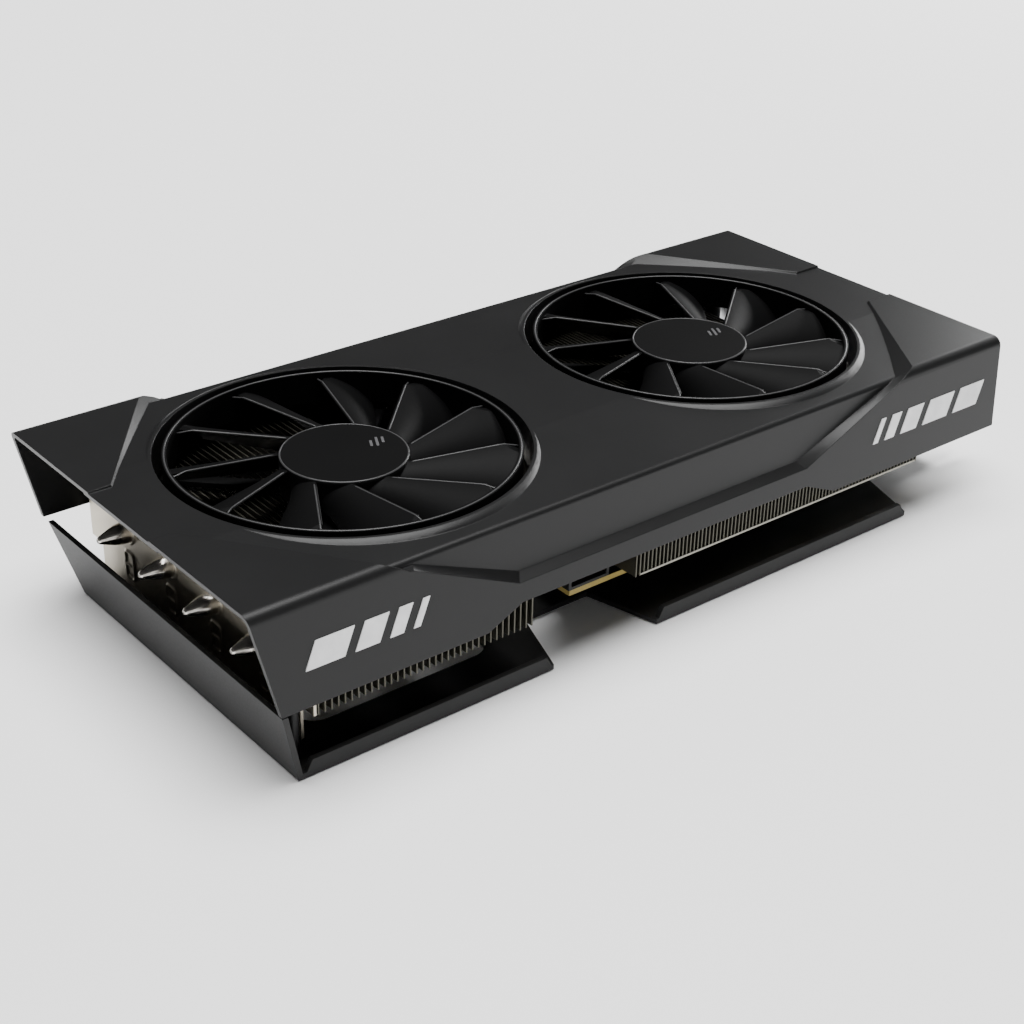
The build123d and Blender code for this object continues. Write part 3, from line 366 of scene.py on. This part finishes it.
def bead(path, radius, around=8, closed=False):
    """A fine round bead along a path: a circle of this radius, square to it, carried along it.

    An open path's circle shrinks to a fiftieth of the radius at its two ends.
    """
    path = np.asarray(path, float)
    ahead = np.roll(path, -1, 0) - np.roll(path, 1, 0)
    if not closed:
        ahead[0], ahead[-1] = path[1] - path[0], path[-1] - path[-2]
    ahead /= np.linalg.norm(ahead, axis=1, keepdims=True)
    side = np.cross(ahead, (0, 0, 1))
    side /= np.linalg.norm(side, axis=1, keepdims=True)
    over = np.cross(side, ahead)
    turn = np.linspace(0, tau, around, endpoint=False)[None, :, None]
    count = np.arange(len(path))
    thin = np.ones(len(path)) if closed else np.minimum(1, np.minimum(count, count[::-1]) + 0.02)
    ring = np.cos(turn) * side[:, None] + np.sin(turn) * over[:, None]
    ring = ring * radius * thin[:, None, None]
    points = path[:, None] + ring
    return points.reshape(-1, 3), grid_faces(len(path), around, closed, True)


def fan_edges(fan, first_turn):
    """Fine rounded edges along the hub's rim, the ring and every blade's top edge, in a colour far lighter than
    the fan's: a painted highlight.

    A blade's edge is straight in plan, from the hub to the ring, and its depth below the card's top
    falls evenly along it, and no less than a second depth that grows past the kink radius.
    """
    x, y, _ = fan_places[fan]
    low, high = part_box(f"{fan}_impeller")
    ring_radius = (high.x - low.x) / 2
    circles = (
        (ring_radius - 0.62 * MM, high.z - 0.18 * MM),
        (hub_radius - 0.45 * MM, hub_top - 0.24 * MM),
    )
    turn = np.linspace(0, tau, 240, endpoint=False)
    parts = []
    for radius, z in circles:
        round_x, round_y = x + radius * np.cos(turn), y + radius * np.sin(turn)
        circle = np.stack([round_x, round_y, np.full_like(turn, z)], -1)
        parts.append(bead(circle, 0.30 * MM, closed=True))
    blades, sweep_back = 11, radians(20.0)
    root_depth, ring_depth, past_ring = 3.6 * MM, 0.9 * MM, 2.0 * MM
    kink_radius, kink_run, kink_depth, kink_drop = 40.0 * MM, 7.9 * MM, 1.0 * MM, 1.7 * MM
    share = np.linspace(0.02, 0.985, 26)
    for n in range(blades):
        tip_turn = radians(first_turn) + tau * n / blades
        root_turn = tip_turn - sweep_back
        root = hub_radius * np.array([cos(root_turn), sin(root_turn)])
        tip = ring_radius * np.array([cos(tip_turn), sin(tip_turn)])
        run = np.linalg.norm(tip - root)
        flat = root + (tip - root) * share[:, None]
        even = root_depth + (ring_depth - root_depth) * share * run / (run + past_ring)
        past_kink = np.clip((np.linalg.norm(flat, axis=1) - kink_radius) / kink_run, 0, 1)
        depth = np.maximum(even, kink_depth + kink_drop * past_kink)
        line = np.stack([x + flat[:, 0], y + flat[:, 1], top_z - depth - 0.12 * MM], -1)
        parts.append(bead(line, 0.24 * MM))
    return piece(f"{fan}_edges", *joined(parts), glossy_edge_painted_highlight, fan, "fan_black", smooth=80)


def pipe_ends():
    """Y and Z of each pipe's axis at the tail, and the pipes' radius."""
    found = []
    for row in range(1, 5):
        low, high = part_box(f"heat_pipe_{row}")
        radius = (high.y - low.y) / 2
        found.append(((low.y + high.y) / 2, high.z - radius, radius))
    return found


def embossed_clip(x, y, top, bottom):
    """Raised outline on the end plate.

    Its height falls off as a bell with distance from a rounded frame and the frame's crossbar.
    """
    rows, columns = 60, 90
    half_patch = 5.0 * MM
    across = np.linspace(-half_patch, half_patch, rows)
    along = np.linspace(bottom, top, columns)
    across, along = np.meshgrid(across, along, indexing="ij")
    middle = (top + bottom) / 2
    half_wide, half_high, corner = 2.2 * MM, (top - bottom) / 2 - 1.6 * MM, 1.0 * MM
    out_y = np.abs(across) - half_wide + corner
    out_z = np.abs(along - middle) - half_high + corner
    outside = np.hypot(np.maximum(out_y, 0), np.maximum(out_z, 0))
    frame_gap = outside + np.minimum(np.maximum(out_y, out_z), 0) - corner
    bar_gap = np.where(np.abs(across) < half_wide, np.abs(along - middle), 1.0)
    gap = np.minimum(np.abs(frame_gap), bar_gap)
    edge = np.minimum(half_patch - np.abs(across), np.minimum(top - along, along - bottom))
    bell_height, bell_width, film, sunk = 0.45 * MM, 0.42 * MM, 0.06 * MM, 0.03 * MM
    bell = bell_height * np.exp(-((gap / bell_width) ** 2))
    height = bell + film * np.clip(edge / MM, 0, 1) - sunk
    points = np.stack([np.full_like(across, x) - height, across + y, along], -1)
    return points.reshape(-1, 3), grid_faces(rows, columns, flip=True)


def pipe_collar(x, y, z, radius):
    """Round ring about a pipe on the plate: a small circle turned about the pipe's axis."""
    turns, swells = 72, 16
    turn = np.linspace(0, tau, turns, endpoint=False)[:, None]
    swell = np.linspace(0, tau, swells, endpoint=False)[None, :]
    wide = 0.45 * MM
    reach = radius + wide + wide * np.cos(swell) + 0.03 * MM
    proud = x - wide * np.sin(swell) * np.ones_like(turn)
    points = np.stack([proud, y + reach * np.cos(turn), z + reach * np.sin(turn)], -1)
    return points.reshape(-1, 3), grid_faces(turns, swells, True, True)


def end_plate_relief():
    """Collars round the four pipes, with a raised clip outline under each."""
    low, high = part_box("tail_end_plate")
    parts = []
    for y, z, radius in pipe_ends():
        parts.append(pipe_collar(low.x, y, z, radius))
        parts.append(embossed_clip(low.x, y, z - radius - 2.0 * MM, low.z + 4.5 * MM))
    return piece("end_plate_relief", *joined(parts), plate_bare, "card", "plate_bare", smooth=60)


def fin_edge(name, start, stop, y, z, thick=0.35 * MM):
    """A thin folded edge that ties the fins together along one line, from start to stop in X, coloured lighter
    than the fins as a painted highlight.
    """
    middle = ((start + stop) / 2, y, z)
    half = ((stop - start) / 2, thick, thick)
    block = pillow(middle, half, square=0.15)
    return piece(name, *block, fin_edge_painted_highlight, "card", "fin_dark", smooth=50)


for fan, first_turn in (("tail_fan", 0.0), ("front_fan", -5.5)):
    hub_mark(fan)
    fan_edges(fan, first_turn)
end_plate_relief()
front_low, front_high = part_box("front_fins")
fin_edge(
    "front_fin_edge",
    start=front_low.x + 1.5 * MM,
    stop=front_high.x,
    y=front_low.y + 0.3 * MM,
    z=front_low.z + 0.36 * MM,
)


# --- Floor, light and camera ----------------------------------------------------------------------
def floor():
    """A flat square floor just under the card: z is constant."""
    half_side, steps = 9.0, 12
    u = np.linspace(-half_side, half_side, steps)
    x, y = np.meshgrid(u, u, indexing="ij")
    z = np.full_like(x, -0.0004)
    points = np.stack([x, y, z], -1).reshape(-1, 3)
    made = bpy.data.meshes.new("floor")
    made.from_pydata(points.tolist(), [], grid_faces(steps, steps).tolist())
    pale = Finish("pale_floor")
    paint = pale.surface(Base_Color=(0.95, 0.95, 0.95), Roughness=0.9, Specular_IOR_Level=0.1)
    made.materials.append(paint)
    placed = bpy.data.objects.new("floor", made)
    bpy.context.scene.collection.objects.link(placed)


def softbox(name, place, target, size, watts):
    """A rectangular light that faces its target."""
    lamp = bpy.data.lights.new(name, "AREA")
    lamp.shape = "RECTANGLE"
    lamp.size, lamp.size_y = size
    lamp.energy = watts
    placed = bpy.data.objects.new(name, lamp)
    placed.location = place
    placed.rotation_euler = (Vector(target) - Vector(place)).to_track_quat("-Z", "Y").to_euler()
    bpy.context.scene.collection.objects.link(placed)


def overhead():
    """A broad, far light from above, which lights the whole floor alike."""
    lamp = bpy.data.lights.new("overhead", "SUN")
    lamp.angle = radians(50)
    lamp.energy = 7.0
    placed = bpy.data.objects.new("overhead", lamp)
    placed.rotation_euler = Vector((0.06, 0.06, 1.0)).to_track_quat("Z", "Y").to_euler()
    bpy.context.scene.collection.objects.link(placed)


def studio():
    middle = (0, 0, 0.03)
    softbox("key_light", (1.45, 0.40, 0.42), middle, (0.7, 0.45), 13)
    overhead()
    softbox("near_light", (-0.2, -1.4, 0.45), middle, (1.2, 0.3), 1.5)
    room()


def room():
    """A dim room that is pale where it is seen straight on, behind the floor's edge."""
    world = bpy.data.worlds.new("room")
    world.use_nodes = True
    air = Shading(world.node_tree)
    seen = air.node("ShaderNodeLightPath", {}, {}, "Is Camera Ray")
    white = (1, 1, 1)
    dim = air.node("ShaderNodeBackground", {}, {"Color": white, "Strength": 0.06})
    pale = air.node("ShaderNodeBackground", {}, {"Color": white, "Strength": 2.2})
    both = air.node("ShaderNodeMixShader", {}, {0: seen, 1: dim, 2: pale})
    air.feed(world.node_tree.nodes["World Output"].inputs["Surface"], both)
    bpy.context.scene.world = world


def camera():
    """Stands off the near tail corner, looking down along the card."""
    lens = bpy.data.cameras.new("camera")
    lens.sensor_width = 36.0
    lens.lens = 63.9
    lens.clip_start = 0.01
    view = bpy.data.objects.new("camera", lens)
    across = Vector((0.77724, -0.62889, 0.02014))
    ahead = Vector((0.55964, 0.67629, -0.47898))
    above = across.cross(ahead)
    turn = Matrix((across, above, -ahead)).transposed()
    corner = Vector((tail_x, fan_y, top_z))
    away = Vector((-0.17358, -0.36192, 0.21589))
    view.matrix_world = Matrix.LocRotScale(corner + away, turn.to_quaternion(), None)
    bpy.context.scene.collection.objects.link(view)
    bpy.context.scene.camera = view


floor()
studio()
camera()
